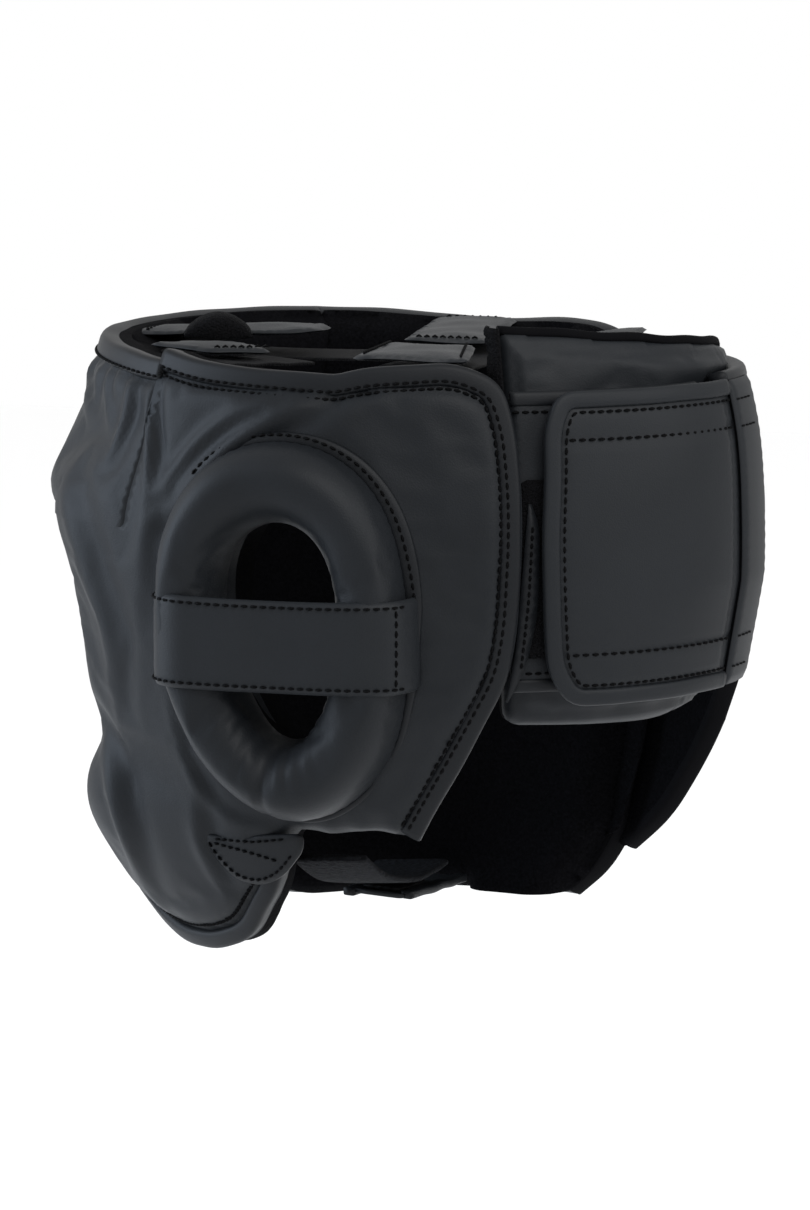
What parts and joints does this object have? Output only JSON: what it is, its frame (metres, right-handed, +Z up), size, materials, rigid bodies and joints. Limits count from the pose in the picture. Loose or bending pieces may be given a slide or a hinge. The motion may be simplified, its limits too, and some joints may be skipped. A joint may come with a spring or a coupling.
{
  "type": "boxing head guard",
  "caption": "Padded leather head guard with forehead, cheeks, ear rings with cross straps, rear pad, hook-and-loop rear flap, crown straps and chin strap.",
  "frame": {"origin": "midpoint between the two ear openings, in the wearer's mid-plane", "axes": "+Z up, the wearer faces -Y, the wearer's left is +X"},
  "size_m": [0.249, 0.2598, 0.22],
  "materials": {
    "cover_leather": "matte, fine grain",
    "binding": "matte, smooth",
    "strap_leather": "matte, fine grain",
    "foam": "closed-cell foam",
    "lining": "soft synthetic suede",
    "webbing": "woven",
    "loop_fabric": "brushed loop pile",
    "hook_tape": "moulded hooks"
  },
  "bodies": {
    "shell": {"chin_loop_strap": "loop_fabric", "crown_tab_corner": "strap_leather", "crown_tab_left": "strap_leather", "crown_tab_rear": "strap_leather", "crown_tab_right": "strap_leather", "crown_web_across": "webbing", "crown_web_along": "webbing", "crown_web_corner": "webbing", "forehead_binding": "binding", "forehead_cover": "cover_leather", "forehead_foam": "foam", "forehead_lining": "lining", "left_chin_anchor": "strap_leather", "left_chin_binding": "binding", "left_cover": "cover_leather", "left_ear_cover": "cover_leather", "left_ear_foam": "foam", "left_ear_strap": "strap_leather", "left_foam": "foam", "left_lining": "lining", "left_rim_binding": "binding", "left_wing": "cover_leather", "left_wing_low_binding": "binding", "left_wing_top_binding": "binding", "loop_field": "loop_fabric", "rear_pad_cover": "cover_leather", "rear_pad_foam": "foam", "rear_pad_lining": "lining", "right_chin_anchor": "strap_leather", "right_chin_binding": "binding", "right_cover": "cover_leather", "right_ear_cover": "cover_leather", "right_ear_foam": "foam", "right_ear_strap": "strap_leather", "right_foam": "foam", "right_lining": "lining", "right_rim_binding": "binding", "right_wing_binding": "binding", "right_wing_cover": "cover_leather", "right_wing_foam": "foam", "right_wing_lining": "lining"},
    "rear_flap": {"rear_flap": "cover_leather", "rear_flap_binding": "binding", "rear_hook_patch": "hook_tape"},
    "chin_strap": {"chin_strap": "strap_leather", "chin_strap_binding_front": "binding", "chin_strap_binding_rear": "binding", "chin_hook_patch": "hook_tape"},
    "front_tab": {"crown_tab_front": "strap_leather", "crown_strap_tip": "loop_fabric"}
  },
  "joints": [
    {"name": "rear_flap_hinge", "type": "hinge", "parent": "shell", "child": "rear_flap", "pos_m": [0.0152, 0.136, 0.028], "axis": [0, 0, 1], "range_deg": [0, 110]},
    {"name": "chin_strap_hinge", "type": "hinge", "parent": "shell", "child": "chin_strap", "pos_m": [-0.051, -0.001, -0.1138], "axis": [0, 1, 0], "range_deg": [0, 75]},
    {"name": "front_tab_hinge", "type": "hinge", "parent": "shell", "child": "front_tab", "pos_m": [-0.002, -0.0705, 0.0924], "axis": [1, 0, 0], "range_deg": [0, 70]}
  ]
}
